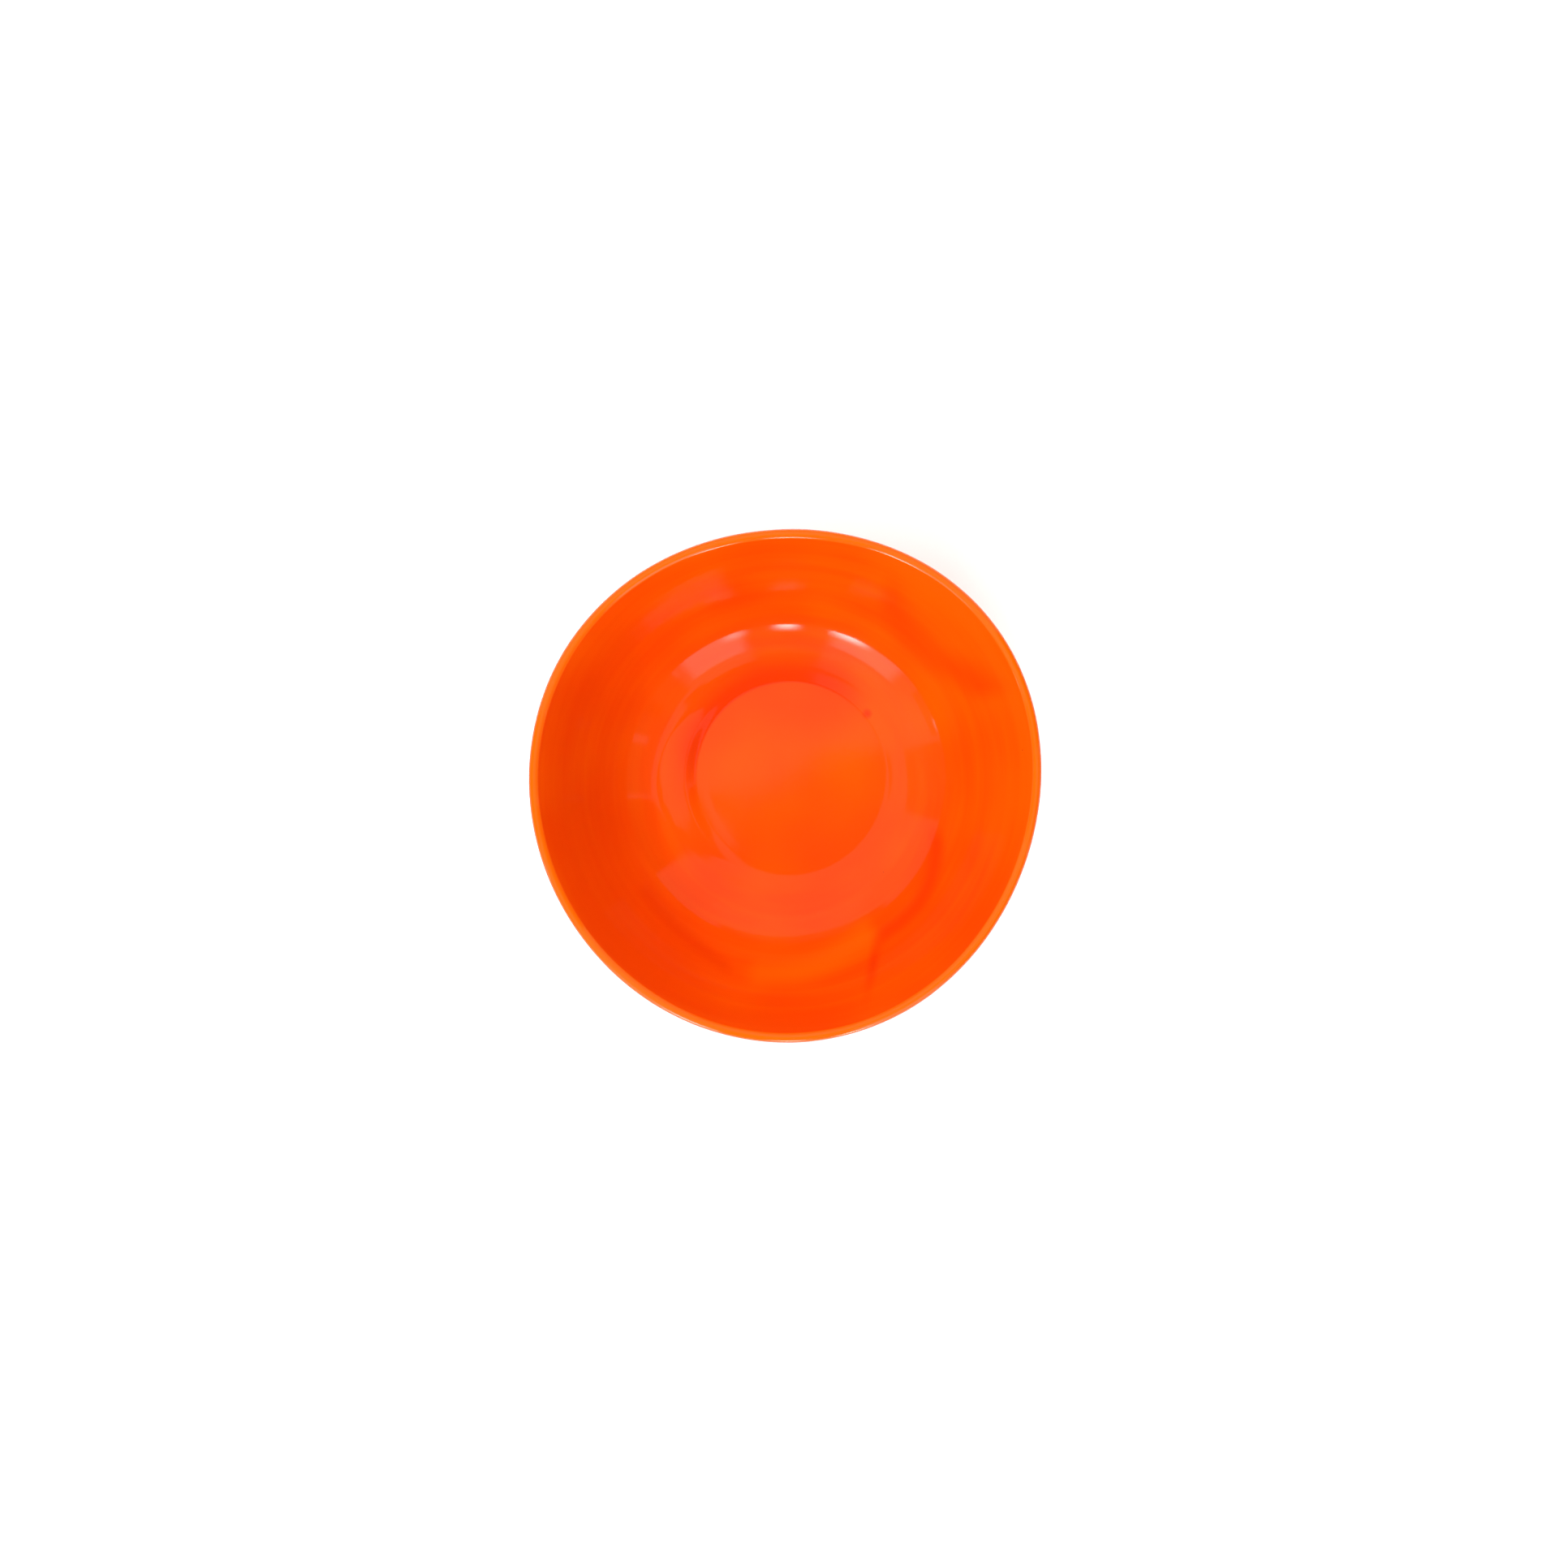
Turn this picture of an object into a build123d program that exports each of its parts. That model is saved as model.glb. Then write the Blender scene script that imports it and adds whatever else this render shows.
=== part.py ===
"""Hand-thrown bowl: clay body, foot ring and the three coats of glaze, in millimetres.

The foot ring stands on the plane Z = 0 and its axis is the Z axis. The wall is one curve turned
about that axis: it leaves the flat well level, climbs to the lip and ends in a full round. The
lip was nudged out of round by hand, so every section above the well has a few shallow lobes.
"""

import os
from math import atan2, cos, pi, radians, sin

from build123d import *

# Whole bowl
RIM_RADIUS = 80.0  # mean outside radius of the glazed lip
BOWL_HEIGHT = 57.0  # from the table to the top of the glazed lip
GLAZE = 0.45  # thickness of every coat of glaze

# Wall and well, in bare clay
WELL_RADIUS = 35.0  # where the flat well ends and the wall begins
WELL_THICKNESS = 5.5  # clay under the well
LIP_THICKNESS = 2.4  # clay at the lip, which is a full round
LIP_ANGLE = 58.0  # slope of the wall below the lip, in degrees above level
WELL_PULL = 0.29  # how far the curve keeps to the level of the well, as a share of its span
LIP_PULL = 0.27  # how far the curve keeps to the slope of the lip, as a share of its span

# Groove that the potter's finger left inside the edge of the well
GROOVE_WIDTH = 2.8
GROOVE_DEPTH = 0.4
GROOVE_INSET = 1.6  # from the edge of the well to the middle of the groove

# Foot ring, turned from the same clay and luted to the base
FOOT_HEIGHT = 6.5  # from the table to the base
FOOT_INSET = 1.0  # from the edge of the flat base to the outside of the foot ring
FOOT_WIDTH = 5.5  # where it joins the base
FOOT_DRAFT = 0.9  # each side leans in by this much on the way down
FOOT_ROUND = 0.8  # worn edges where it meets the table
WIPED_MARGIN = 0.6  # bare clay left beside the foot ring, outside and inside

# Lobes of the lip: how many, how high, and the bearing of the first one in degrees from +X
LIP_LOBES = ((2, 0.50, 50.0), (3, 0.93, 36.0), (4, 0.19, 38.0))
LOBE_GROWTH = 2.0  # power of the climb up the wall: the lobes fade towards the well

# How finely the curved surfaces are drawn
OUTLINE_POINTS = 20
WALL_STATIONS = 12
STATION_CROWDING = 2.2  # stations crowd towards the lip, where the surface turns tightest
LIP_STATIONS = 5

LIP_CENTRE_RADIUS = RIM_RADIUS - GLAZE - LIP_THICKNESS / 2
LIP_CENTRE_HEIGHT = BOWL_HEIGHT - GLAZE - LIP_THICKNESS / 2
WELL_HEIGHT = FOOT_HEIGHT + WELL_THICKNESS
FOOT_RADIUS = WELL_RADIUS - FOOT_INSET
RECESS_RADIUS = FOOT_RADIUS - FOOT_WIDTH


def wall_middle(climb):
    """Point and slope of the middle of the wall, from the well at climb 0 to the lip at climb 1."""
    slope = radians(LIP_ANGLE)
    start = (WELL_RADIUS, FOOT_HEIGHT + WELL_THICKNESS / 2)
    end = (LIP_CENTRE_RADIUS, LIP_CENTRE_HEIGHT)
    span = LIP_CENTRE_RADIUS - WELL_RADIUS + LIP_CENTRE_HEIGHT - WELL_HEIGHT
    pulled_out = (start[0] + WELL_PULL * span, start[1])
    pulled_down = (end[0] - LIP_PULL * span * cos(slope), end[1] - LIP_PULL * span * sin(slope))
    corners = (start, pulled_out, pulled_down, end)
    rest = 1 - climb
    shares = (rest**3, 3 * rest**2 * climb, 3 * rest * climb**2, climb**3)
    radius, height = [sum(s * c[i] for s, c in zip(shares, corners)) for i in (0, 1)]
    legs = [(b[0] - a[0], b[1] - a[1]) for a, b in zip(corners, corners[1:])]
    paces = (rest**2, 2 * rest * climb, climb**2)
    run, rise = [sum(p * leg[i] for p, leg in zip(paces, legs)) for i in (0, 1)]
    return radius, height, atan2(rise, run)


def wall_side(climb, side, coat):
    """Radius and height of the wall under a coat: side is 1 outside, -1 inside, 0 in the middle."""
    radius, height, slope = wall_middle(climb)
    half = (WELL_THICKNESS + (LIP_THICKNESS - WELL_THICKNESS) * climb) / 2 + coat
    return radius + side * half * sin(slope), height - side * half * cos(slope)


def skin(coat):
    """(radius, height, climb) from the base up the outside, round the lip and down to the well."""
    climbs = [1 - (1 - i / WALL_STATIONS) ** STATION_CROWDING for i in range(WALL_STATIONS + 1)]
    stations = [(*wall_side(climb, 1, coat), climb) for climb in climbs]
    reach = LIP_THICKNESS / 2 + coat
    for i in range(1, LIP_STATIONS + 1):
        turn = radians(LIP_ANGLE - 90 + 180 * i / (LIP_STATIONS + 1))
        radius = LIP_CENTRE_RADIUS + reach * cos(turn)
        stations.append((radius, LIP_CENTRE_HEIGHT + reach * sin(turn), 1.0))
    stations += [(*wall_side(climb, -1, coat), climb) for climb in reversed(climbs)]
    return stations


def outline(radius, climb):
    """Points of the closed outline of mean radius at one climb, lobes included."""
    points = []
    for i in range(OUTLINE_POINTS):
        bearing = 2 * pi * i / OUTLINE_POINTS
        lobes = sum(high * cos(n * (bearing - radians(at))) for n, high, at in LIP_LOBES)
        reach = radius + lobes * climb**LOBE_GROWTH
        points.append((reach * cos(bearing), reach * sin(bearing)))
    return points


def lofted(stations):
    """Solid through the outlines at these stations."""
    with BuildPart(mode=Mode.PRIVATE) as solid:
        for radius, height, climb in stations:
            with BuildSketch(Plane.XY.offset(height)):
                with BuildLine():
                    Spline(*outline(radius, climb), periodic=True)
                make_face()
        loft()
    return solid.part


def well_groove(height):
    """Ring that cuts the groove into a well whose surface is at this height."""
    arc_radius = (GROOVE_WIDTH**2 / 4 + GROOVE_DEPTH**2) / (2 * GROOVE_DEPTH)
    with BuildPart(mode=Mode.PRIVATE) as ring:
        with BuildSketch(Plane.XZ):
            with Locations((WELL_RADIUS - GROOVE_INSET, height - GROOVE_DEPTH + arc_radius)):
                Circle(arc_radius)
        revolve(axis=Axis.Z)
    return ring.part


# Thrown body, from the flat base to the round of the lip
with BuildPart() as clay_body:
    add(lofted(skin(0.0)))
    add(well_groove(WELL_HEIGHT), mode=Mode.SUBTRACT)

# Turned foot: a ring with leaning sides and worn edges
with BuildPart() as foot_ring:
    with BuildSketch(Plane.XZ):
        with BuildLine():
            Polyline(
                (RECESS_RADIUS, FOOT_HEIGHT),
                (FOOT_RADIUS, FOOT_HEIGHT),
                (FOOT_RADIUS - FOOT_DRAFT, 0),
                (RECESS_RADIUS + FOOT_DRAFT, 0),
                close=True,
            )
        make_face()
    revolve(axis=Axis.Z)
    fillet(foot_ring.edges().group_by(Axis.Z)[0], FOOT_ROUND)

# Glaze all over, from which the three coats are parted
with BuildPart() as whole_coat:
    add(lofted(skin(GLAZE)))
    add(well_groove(WELL_HEIGHT + GLAZE), mode=Mode.SUBTRACT)
    add(clay_body.part, mode=Mode.SUBTRACT)

# Everything inside the middle of the wall: the inner and outer coats part along it at the lip
with BuildPart() as hollow:
    climbs = [i / WALL_STATIONS for i in range(WALL_STATIONS + 1)]
    add(lofted([(*wall_side(climb, 0, 0.0), climb) for climb in climbs]))
    with BuildSketch(Plane.XY.offset(LIP_CENTRE_HEIGHT)):
        with BuildLine():
            Spline(*outline(LIP_CENTRE_RADIUS, 1.0), periodic=True)
        make_face()
    extrude(amount=LIP_THICKNESS)

# Inner coat, over the lip, the wall and the well
with BuildPart() as inner_glaze:
    add(whole_coat.part)
    add(hollow.part, mode=Mode.INTERSECT)

# Outer coat, from the lip to the wiped line beside the foot ring
with BuildPart() as outer_glaze:
    add(whole_coat.part)
    add(hollow.part, mode=Mode.SUBTRACT)
    Cylinder(FOOT_RADIUS + WIPED_MARGIN, 2 * FOOT_HEIGHT, mode=Mode.SUBTRACT)

# Patch of glaze in the recess of the foot
with BuildPart() as base_glaze:
    with BuildSketch(Plane.XY.offset(FOOT_HEIGHT)):
        Circle(RECESS_RADIUS - WIPED_MARGIN)
    extrude(amount=-GLAZE)

os.makedirs("parts", exist_ok=True)

clay_body.part.label = "clay_body"
foot_ring.part.label = "foot_ring"
inner_glaze.part.label = "inner_glaze"
outer_glaze.part.label = "outer_glaze"
base_glaze.part.label = "base_glaze"

export_step(clay_body.part, "parts/clay_body.step")
export_step(foot_ring.part, "parts/foot_ring.step")
export_step(inner_glaze.part, "parts/inner_glaze.step")
export_step(outer_glaze.part, "parts/outer_glaze.step")
export_step(base_glaze.part, "parts/base_glaze.step")
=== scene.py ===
"""A small hand-thrown bowl in a glossy orange glaze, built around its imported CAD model, in metres.

The clay body stays as the CAD made it. The coat of glaze, the patch of glaze under the base and the
foot ring are modelled here. Each is a profile turned on the bowl's axis, as on a wheel, and then
given what the potter's hand leaves: the lobes of the lip, the throwing rings and a slow unevenness.
"""

import logging
import math
from dataclasses import dataclass, field
from enum import Enum

import bpy
import numpy as np
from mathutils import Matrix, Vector


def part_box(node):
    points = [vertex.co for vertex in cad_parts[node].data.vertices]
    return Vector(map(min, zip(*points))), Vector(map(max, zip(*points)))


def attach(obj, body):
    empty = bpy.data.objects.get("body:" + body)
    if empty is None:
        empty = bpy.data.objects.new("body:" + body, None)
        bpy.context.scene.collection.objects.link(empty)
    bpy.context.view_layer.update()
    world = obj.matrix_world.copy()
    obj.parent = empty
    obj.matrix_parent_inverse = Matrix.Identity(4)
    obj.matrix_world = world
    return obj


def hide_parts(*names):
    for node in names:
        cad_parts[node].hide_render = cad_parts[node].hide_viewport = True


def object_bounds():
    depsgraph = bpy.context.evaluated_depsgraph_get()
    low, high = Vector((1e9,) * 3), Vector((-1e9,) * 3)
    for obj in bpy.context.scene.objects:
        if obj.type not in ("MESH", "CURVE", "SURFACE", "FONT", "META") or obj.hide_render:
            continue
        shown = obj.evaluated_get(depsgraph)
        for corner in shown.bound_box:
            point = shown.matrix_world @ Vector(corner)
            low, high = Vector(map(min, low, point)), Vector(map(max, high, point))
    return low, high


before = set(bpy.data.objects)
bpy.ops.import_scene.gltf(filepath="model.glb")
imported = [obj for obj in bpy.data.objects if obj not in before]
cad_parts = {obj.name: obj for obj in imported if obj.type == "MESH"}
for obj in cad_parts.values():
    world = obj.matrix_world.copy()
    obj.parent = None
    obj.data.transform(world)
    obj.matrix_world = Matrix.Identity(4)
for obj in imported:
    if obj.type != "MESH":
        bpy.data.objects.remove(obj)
CAD_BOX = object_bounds()

LOG = logging.getLogger("bowl")
MM = 0.001
CREASE = math.radians(50)  # faces that meet at more than this keep a sharp edge

Point = tuple[float, float]  # radius and height, or across and up
Pair = tuple[float, float]  # two values of a kind, such as a start and an end
Colour = tuple[float, float, float, float]
Socket = bpy.types.NodeSocket
Feed = float | tuple[float, ...] | Socket

SMOOTH = {"interpolation_type": "SMOOTHSTEP"}
BLEND = {"data_type": "RGBA"}
INSIDE_TILT = 0.05  # height of the unit normal that is enough to count as the inside of the wall


def linear(hex_colour: str) -> Colour:
    """Turn an sRGB hex colour into the linear colour that a shader reads.

    Args:
        hex_colour: Six hex digits, with or without a leading #.

    Returns:
        Red, green, blue and an alpha of one.
    """
    digits = hex_colour.lstrip("#")
    shares = [int(digits[i : i + 2], 16) / 255 for i in (0, 2, 4)]
    made = [s / 12.92 if s <= 0.04045 else ((s + 0.055) / 1.055) ** 2.4 for s in shares]
    return (*made, 1.0)


def deselect_all() -> None:
    """Leave edit mode and deselect every object."""
    if bpy.context.object and bpy.context.object.mode != "OBJECT":
        bpy.ops.object.mode_set(mode="OBJECT")
    bpy.ops.object.select_all(action="DESELECT")


# ---------------------------------------------------------------------------------------------
# Shader graphs
# ---------------------------------------------------------------------------------------------


@dataclass
class Graph:
    """A material under construction, with its shader and its output already joined."""

    name: str
    material: bpy.types.Material = field(init=False)
    shader: bpy.types.Node = field(init=False)

    def __post_init__(self) -> None:
        """Make the material, and keep the shader that it starts with."""
        self.material = bpy.data.materials.new(self.name)
        self.material.use_nodes = True
        self.shader = self.material.node_tree.nodes["Principled BSDF"]

    def add(self, kind: str, settings: dict, feeds: dict, output: str | int = 0) -> Socket:
        """Add one node with its settings and its links.

        Args:
            kind: The node's Blender type, without its ShaderNode prefix.
            settings: Attributes by name.
            feeds: What enters each input, by the input's name or number: a number, a tuple, or
                the output of another node.
            output: Name or number of the output that is wanted.

        Returns:
            That output.
        """
        node = self.material.node_tree.nodes.new("ShaderNode" + kind)
        for key, value in settings.items():
            setattr(node, key, value)
        for key, value in feeds.items():
            self.feed(node.inputs[key], value)
        return node.outputs[output]

    def feed(self, target: Socket, value: Feed) -> None:
        """Set an input to a value, or link it to another node's output.

        Args:
            target: The input.
            value: A number, a tuple, or the output of another node.
        """
        if isinstance(value, Socket):
            self.material.node_tree.links.new(value, target)
        else:
            target.default_value = value


@dataclass(frozen=True)
class PaintedReflection:
    """A soft band of painted reflection in the glaze colour, darker or paler, along a course on the
    wall.
    """

    course: tuple[Pair, ...]  # bearing in degrees and radius of each place that it passes
    half_width: float  # from its middle to where it has faded away
    share: float  # how strong it is
    tone: str = "C62901"  # the dark red-orange of the painted reflection
    taper: float = 0.15  # share of its length over which each end fades

    @property
    def bearings(self) -> Pair:
        """The bearings of its two ends, in radians."""
        return math.radians(self.course[0][0]), math.radians(self.course[-1][0])

    def trace(self, curve: bpy.types.CurveMapping, top: float) -> None:
        """Bend a curve from 0 to 1 into the band's course.

        Args:
            curve: The curve, as it is in a new node.
            top: The radius that stands for 1.
        """
        start, end = self.course[0][0], self.course[-1][0]
        line = curve.curves[0]
        line.points[0].location = (0.0, self.course[0][1] / top)
        line.points[1].location = (1.0, self.course[-1][1] / top)
        for bearing, radius in self.course[1:-1]:
            line.points.new((bearing - start) / (end - start), radius / top)
        curve.update()


@dataclass(frozen=True)
class OrangeGlaze:
    """Cadmium orange glaze, fired to a full gloss over a buff body.

    A glaze of this kind is a coloured glass: it deepens to red-orange where it lies thick, low on
    one side of the wall, and breaks to yellow-orange where it thins over the lip. Soft darker and
    paler bands of painted reflection are drawn into its colour on the inside of the wall.
    """

    lip_height: float  # top of the lip above the table
    well_radius: float
    well_height: float  # surface of the well above the table
    pool_middle: Point  # of the circle that the rib pressed round the well, off the bowl's axis
    pool_radius: float  # of that circle
    name: str = "orange_glaze"
    thick: str = "D33A01"  # red-orange, where it ran together low on the wall
    even: str = "DB4E01"  # orange, over most of the wall
    thin: str = "D95502"  # yellow-orange, where the buff clay shows through at the lip
    pooled: str = "C62901"  # the deepest red, in the pool beside the well and in the dimple
    iron: str = "6B2A08"  # rusty brown
    ior: float = 1.5  # a soft fritted glaze
    roughness: float = 0.07  # a full gloss, whose reflections have slightly soft edges
    roughness_spread: float = 0.04
    cloud_size: float = 34.0 * MM  # from one thicker place in the coat to the next
    cloud_share: float = 0.6  # how much of the changes in depth are clouds
    streak_share: float = 0.4  # and how much are streaks
    depths: Pair = (0.2, 0.75)  # the sums of both at which the coat looks even, and thick
    lean: float = 0.09  # how much thicker the coat is on the side that it drained to
    lean_bearing: float = math.radians(218)
    pool_share: float = 0.75
    pool_bearing: float = math.radians(118)  # the side that the bowl leaned to as it dried
    pool_start: Pair = (-0.5 * MM, 0.7 * MM)  # beyond the circle, where it begins and is full
    pool_end: Pair = (11.0 * MM, 2.0 * MM)  # beyond the circle, where it ends and is still full
    pool_side: Pair = (0.1, 0.75)  # cosines from that bearing at which it begins and is full
    dimple: tuple[float, float, float] = (27.0 * MM, 23.1 * MM, 13.2 * MM)
    dimple_size: float = 2.3 * MM
    reflection_curve_top: float = 80.0 * MM  # the radius at the top of the painted reflections' curves
    painted_reflections: tuple[PaintedReflection, ...] = (
        # Painted reflection: a dark S-shaped line, which bends twice on its way down the wall.
        PaintedReflection(
            (
                (-72.0, 75.0 * MM),
                (-65.0, 65.5 * MM),
                (-60.0, 60.0 * MM),
                (-49.0, 58.7 * MM),
                (-42.0, 58.4 * MM),
                (-14.0, 51.0 * MM),
            ),
            4.0 * MM,
            0.65,
        ),
        # Painted reflection: a broad soft dark band high on the wall.
        PaintedReflection(
            ((20.0, 73.0 * MM), (30.0, 67.5 * MM), (43.0, 62.8 * MM), (66.0, 70.0 * MM)),
            8.0 * MM,
            0.5,
        ),
        # Painted reflection: a faint dark arc above the ledge, and beside it a paler band of painted
        # light.
        PaintedReflection(((-147.0, 58.0 * MM), (-128.0, 59.0 * MM), (-103.0, 63.5 * MM)), 3.4 * MM, 0.36),
        PaintedReflection(((-104.0, 63.0 * MM), (-84.0, 60.5 * MM), (-56.0, 55.5 * MM)), 7.0 * MM, 0.55, "DC5A02"),
    )
    reflection_start: Pair = (1.0 * MM, 3.0 * MM)  # above the well, where the painted reflections begin and are full
    streak_width: float = 8.0 * MM  # from one streak to the next, up the wall
    streak_turns: float = 0.8  # how often a streak changes on its way round
    streak_start: Pair = (-6.0 * MM, 10.0 * MM)  # beyond the well's edge: faint there, then full
    streak_least: float = 0.15  # how much of a streak is left in the well
    lip_start: Pair = (-0.85 * MM, -0.25 * MM)  # from the lip's top: thinner, then thinnest
    lip_wander: float = 0.5 * MM  # how far the start of the thin edge moves up and down
    peel_size: float = 1.1 * MM  # orange peel, the fine ripple of a fired glaze
    peel_depth: float = 0.05 * MM
    peel_strength: float = 0.12
    speck_spacing: float = 17.0 * MM
    speck_size: float = 0.25 * MM

    def make(self) -> bpy.types.Material:
        """Build the material.

        Returns:
            The glaze, read from Object coordinates.
        """
        graph = Graph(self.name)
        place = graph.add("TexCoord", {}, {}, "Object")
        across = graph.add(
            "VectorMath", {"operation": "MULTIPLY"}, {0: place, 1: (1, 1, 0)}, "Vector"
        )
        radius = graph.add("VectorMath", {"operation": "LENGTH"}, {0: across}, "Value")
        height = graph.add("SeparateXYZ", {}, {0: place}, "Z")
        cloud = graph.add(
            "TexNoise", {}, {"Vector": place, "Scale": 1 / self.cloud_size, "Detail": 1.0}
        )

        streak = self.streaks(graph, across, radius, height)
        colour = self.body(graph, place, cloud, self.outside_well(graph, streak, radius))
        # painted reflections: soft darker and paler bands drawn into the glaze colour
        for run in self.painted_reflections:
            colour = self.paint_reflection(graph, colour, run, place, radius)
        colour = self.pool(graph, colour, place)
        colour = self.fill_dimple(graph, colour, place)
        colour = self.lip(graph, colour, height, cloud)
        colour = self.specks(graph, colour, place)
        graph.feed(graph.shader.inputs["Base Color"], colour)
        graph.shader.inputs["IOR"].default_value = self.ior

        rough = graph.add(
            "Math",
            {"operation": "MULTIPLY_ADD"},
            {0: cloud, 1: self.roughness_spread, 2: self.roughness - self.roughness_spread / 2},
        )
        graph.feed(graph.shader.inputs["Roughness"], rough)
        peel = graph.add("TexNoise", {}, {"Vector": place, "Scale": 1 / self.peel_size})
        ripple = {"Height": peel, "Strength": self.peel_strength, "Distance": self.peel_depth}
        graph.feed(graph.shader.inputs["Normal"], graph.add("Bump", {}, ripple))
        return graph.material

    def streaks(self, graph: Graph, across: Socket, radius: Socket, height: Socket) -> Socket:
        """Streaks that run round the bowl, as the glaze was poured while the wheel turned.

        Args:
            graph: The material.
            across: The place, flattened to the table.
            radius: The distance from the bowl's axis.
            height: The height above the table.

        Returns:
            The pattern's value.
        """
        bearing = graph.add("VectorMath", {"operation": "NORMALIZE"}, {0: across}, "Vector")
        climb = graph.add("Math", {"operation": "ADD"}, {0: radius, 1: height})
        rows = graph.add(
            "Math", {"operation": "MULTIPLY"}, {0: climb, 1: 1 / self.streak_width}
        )
        stacked = graph.add("CombineXYZ", {}, {"Z": rows})
        turns = (self.streak_turns, self.streak_turns, 0.0)
        wrap = {"operation": "MULTIPLY_ADD"}, {0: bearing, 1: turns, 2: stacked}
        wrapped = graph.add("VectorMath", *wrap, "Vector")
        return graph.add("TexNoise", {}, {"Vector": wrapped, "Scale": 1.0, "Detail": 3.0})

    def outside_well(self, graph: Graph, streak: Socket, radius: Socket) -> Socket:
        """Calm the streaks in the well, where the glaze settled level and even.

        Args:
            graph: The material.
            streak: The pattern of the streaks.
            radius: The distance from the bowl's axis.

        Returns:
            The pattern, at its middle value in the well.
        """
        start, full = (self.well_radius + beyond for beyond in self.streak_start)
        edge = {"Value": radius, "From Min": start, "From Max": full, "To Min": self.streak_least}
        share = graph.add("MapRange", SMOOTH, edge)
        off = graph.add("Math", {"operation": "SUBTRACT"}, {0: streak, 1: 0.5})
        return graph.add("Math", {"operation": "MULTIPLY_ADD"}, {0: off, 1: share, 2: 0.5})

    def body(self, graph: Graph, place: Socket, cloud: Socket, streak: Socket) -> Socket:
        """The glaze on the wall, even in places and thicker in others.

        Args:
            graph: The material.
            place: The place on the bowl.
            cloud: The slow variation.
            streak: The variation round the bowl.

        Returns:
            The colour.
        """
        share = self.lean / self.lip_height
        drain = (share * math.cos(self.lean_bearing), share * math.sin(self.lean_bearing), 0)
        depth = graph.add("VectorMath", {"operation": "DOT_PRODUCT"}, {0: place, 1: drain}, "Value")
        for part, weight in ((cloud, self.cloud_share), (streak, self.streak_share)):
            depth = graph.add("Math", {"operation": "MULTIPLY_ADD"}, {0: part, 1: weight, 2: depth})
        even, thick = self.depths
        share = graph.add("MapRange", SMOOTH, {"Value": depth, "From Min": even, "From Max": thick})
        return graph.add(
            "Mix", BLEND, {0: share, 6: linear(self.even), 7: linear(self.thick)}, 2
        )

    def fill_dimple(self, graph: Graph, colour: Socket, place: Socket) -> Socket:
        """Deepen the glaze in a fingertip's dimple beside the well.

        Args:
            graph: The material.
            colour: The colour so far.
            place: The place on the bowl.

        Returns:
            The colour.
        """
        ends = {0: place, 1: self.dimple}
        off = graph.add("VectorMath", {"operation": "DISTANCE"}, ends, "Value")
        limits = ((off, self.dimple_size, self.dimple_size / 4),)
        return self.tint(graph, colour, limits, self.pool_share, self.pooled)

    def paint_reflection(
        self, graph: Graph, colour: Socket, run: PaintedReflection, place: Socket, radius: Socket
    ) -> Socket:
        """Paint one band of painted reflection on the inside of the wall.

        Args:
            graph: The material.
            colour: The colour so far.
            run: The band of painted reflection.
            place: The place on the bowl.
            radius: The distance from the bowl's axis.

        Returns:
            The colour.
        """
        east = graph.add("SeparateXYZ", {}, {0: place}, "X")
        ends = {0: east.node.outputs["Y"], 1: east}
        bearing = graph.add("Math", {"operation": "ARCTAN2"}, ends)
        start, end = run.bearings
        along = graph.add("MapRange", {}, {"Value": bearing, "From Min": start, "From Max": end})
        course = graph.add("FloatCurve", {}, {"Value": along})
        run.trace(course.node.mapping, self.reflection_curve_top)
        away = graph.add(
            "Math", {"operation": "MULTIPLY_ADD"}, {0: course, 1: -self.reflection_curve_top, 2: radius}
        )
        away = graph.add("Math", {"operation": "ABSOLUTE"}, {0: away})
        height = east.node.outputs["Z"]
        facing = graph.add("NewGeometry", {}, {}, "Normal")
        upward = graph.add("SeparateXYZ", {}, {0: facing}, "Z")
        limits = (
            (upward, 0.0, INSIDE_TILT),
            (away, run.half_width, 0.0),
            (along, 0.0, run.taper),
            (along, 1.0, 1.0 - run.taper),
            (height, *(self.well_height + above for above in self.reflection_start)),
        )
        return self.tint(graph, colour, limits, run.share, run.tone)

    def tint(
        self,
        graph: Graph,
        colour: Socket,
        limits: tuple[tuple[Socket, float, float], ...],
        share: float,
        tone: str,
    ) -> Socket:
        """Tint the glaze wherever every one of some values lies within its limit.

        Args:
            graph: The material.
            colour: The colour so far.
            limits: Each value, where the tint is nil and where it is full.
            share: The strength of the tint.
            tone: Its colour.

        Returns:
            The colour.
        """
        for value, nil, full in limits:
            edge = {"Value": value, "From Min": nil, "From Max": full}
            part = graph.add("MapRange", SMOOTH, edge)
            share = graph.add("Math", {"operation": "MULTIPLY"}, {0: part, 1: share})
        return graph.add("Mix", BLEND, {0: share, 6: colour, 7: linear(tone)}, 2)

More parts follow.
